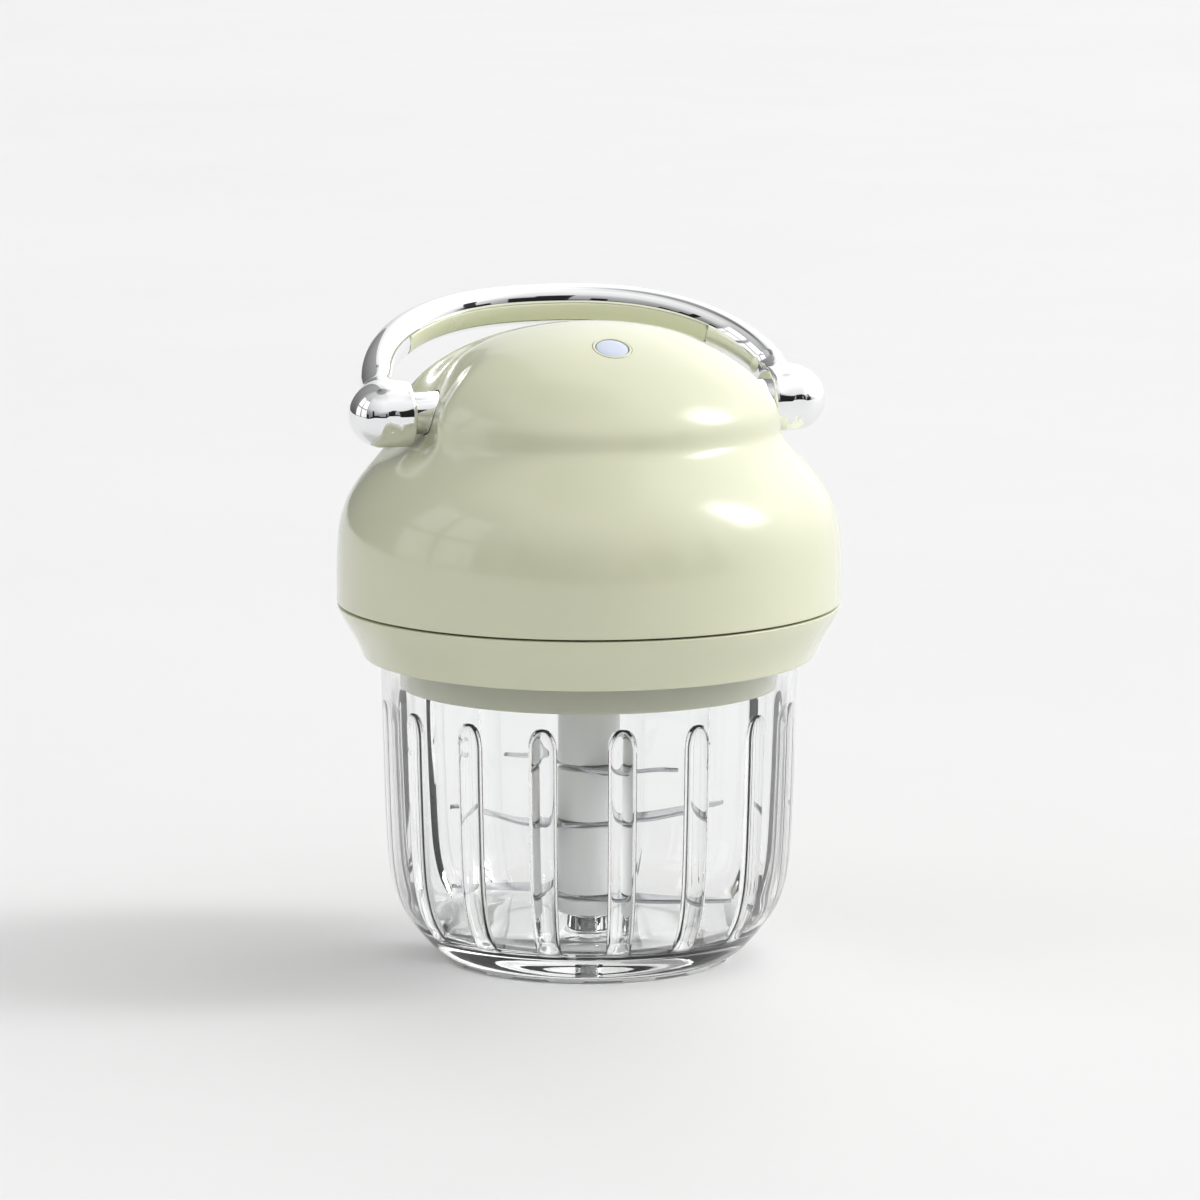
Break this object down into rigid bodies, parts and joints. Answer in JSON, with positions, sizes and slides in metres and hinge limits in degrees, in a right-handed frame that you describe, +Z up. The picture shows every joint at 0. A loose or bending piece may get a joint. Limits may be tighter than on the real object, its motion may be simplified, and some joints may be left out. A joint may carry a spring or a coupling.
{
  "type": "mini food processor",
  "caption": "Cordless mini food processor: round motor head with a swinging bail handle, on a clear ribbed bowl with tiered blades.",
  "frame": {"origin": "on the table under the middle of the bowl", "axes": "+Z up; X along the handle's pivot axis; -Y the front with the power button, +Y the back with the charging port"},
  "size_m": [0.144, 0.144, 0.189],
  "materials": {
    "sage_plastic": "polished moulding, pale sage green",
    "chrome": "mirror polish",
    "clear_plastic": "clear, polished",
    "clear_rubber": "soft, slightly frosted",
    "steel": "ground and polished",
    "white_plastic": "satin",
    "seal_rubber": "soft matte",
    "button_blue": "satin, translucent pale blue",
    "grey_plastic": "moulded",
    "motor_steel": "drawn steel",
    "rotor_copper": "enamelled copper winding",
    "gear_acetal": "natural acetal",
    "cell_wrap": "shrink wrap",
    "board_green": "solder mask",
    "black_plastic": "moulded"
  },
  "bodies": {
    "bowl": {"glass_bowl": "clear_plastic", "foot_ring": "clear_rubber", "spindle_pin": "steel"},
    "blades": {"blade_shaft": "steel", "hub_foot": "white_plastic", "hub_spacer_lower": "white_plastic", "hub_spacer_upper": "white_plastic", "hub_crown": "white_plastic", "lower_blade": "steel", "middle_blade": "steel", "upper_blade": "steel"},
    "head": {"upper_shell": "sage_plastic", "lower_shell": "sage_plastic", "neck_plug": "sage_plastic", "neck_seal": "seal_rubber", "shaft_seal": "seal_rubber", "case_screw_1": "steel", "case_screw_2": "steel", "case_screw_3": "steel", "case_screw_4": "steel", "gearbox_base": "grey_plastic", "gearbox_cover": "grey_plastic", "output_bearing": "motor_steel", "idler_axle": "steel", "motor_can": "motor_steel", "motor_magnet": "black_plastic", "motor_end_cap": "white_plastic", "cell_tray": "grey_plastic", "cell_cap": "grey_plastic", "battery_cell_left": "cell_wrap", "battery_cell_right": "cell_wrap", "control_board": "board_green", "charging_socket": "motor_steel", "charging_board": "board_green", "button_board": "board_green", "tact_switch": "black_plastic", "button_ring": "sage_plastic", "pivot_collar_left": "sage_plastic", "pivot_collar_right": "sage_plastic"},
    "output_drive": {"output_shaft": "steel", "output_gear": "gear_acetal"},
    "idler": {"idler_gear": "gear_acetal", "idler_pinion": "gear_acetal"},
    "rotor": {"motor_shaft": "steel", "motor_pinion": "gear_acetal", "rotor_core": "rotor_copper"},
    "handle": {"handle_bail": "chrome", "grip_insert": "sage_plastic", "handle_eye_left": "chrome", "handle_eye_right": "chrome", "knob_cap_left": "chrome", "knob_cap_right": "chrome", "handle_axle_left": "steel", "handle_axle_right": "steel", "axle_clip_left": "steel", "axle_clip_right": "steel"},
    "power_button_body": {"power_button": "button_blue"},
    "port_flap_body": {"port_flap": "sage_plastic"}
  },
  "joints": [
    {"name": "head_lift", "type": "slide", "parent": "bowl", "child": "head", "axis": [0, 0, 1], "range_m": [0, 0.15]},
    {"name": "blade_spin", "type": "hinge", "parent": "bowl", "child": "blades", "pos_m": [0, 0, 0.05], "axis": [0, 0, 1], "continuous": true},
    {"name": "output_spin", "type": "hinge", "parent": "head", "child": "output_drive", "pos_m": [0, 0, 0.09], "axis": [0, 0, 1], "continuous": true},
    {"name": "idler_spin", "type": "hinge", "parent": "head", "child": "idler", "pos_m": [0.01785, 0, 0.11], "axis": [0, 0, 1], "continuous": true},
    {"name": "motor_spin", "type": "hinge", "parent": "head", "child": "rotor", "pos_m": [0, 0, 0.13], "axis": [0, 0, 1], "continuous": true},
    {"name": "handle_swing", "type": "hinge", "parent": "head", "child": "handle", "pos_m": [0, 0, 0.1592], "axis": [1, 0, 0], "range_deg": [0, 126]},
    {"name": "button_press", "type": "slide", "parent": "head", "child": "power_button_body", "axis": [0, 0.3957, -0.9184], "range_m": [0, 0.0008], "stiffness_N_per_m": 1200},
    {"name": "flap_open", "type": "hinge", "parent": "head", "child": "port_flap_body", "pos_m": [0, 0.0717, 0.1168], "axis": [1, 0, 0], "range_deg": [0, 100]}
  ],
  "couplings": [
    {"joint": "output_spin", "follows": "blade_spin", "ratio": 1},
    {"joint": "idler_spin", "follows": "blade_spin", "ratio": -2.4},
    {"joint": "motor_spin", "follows": "blade_spin", "ratio": 5.76}
  ]
}
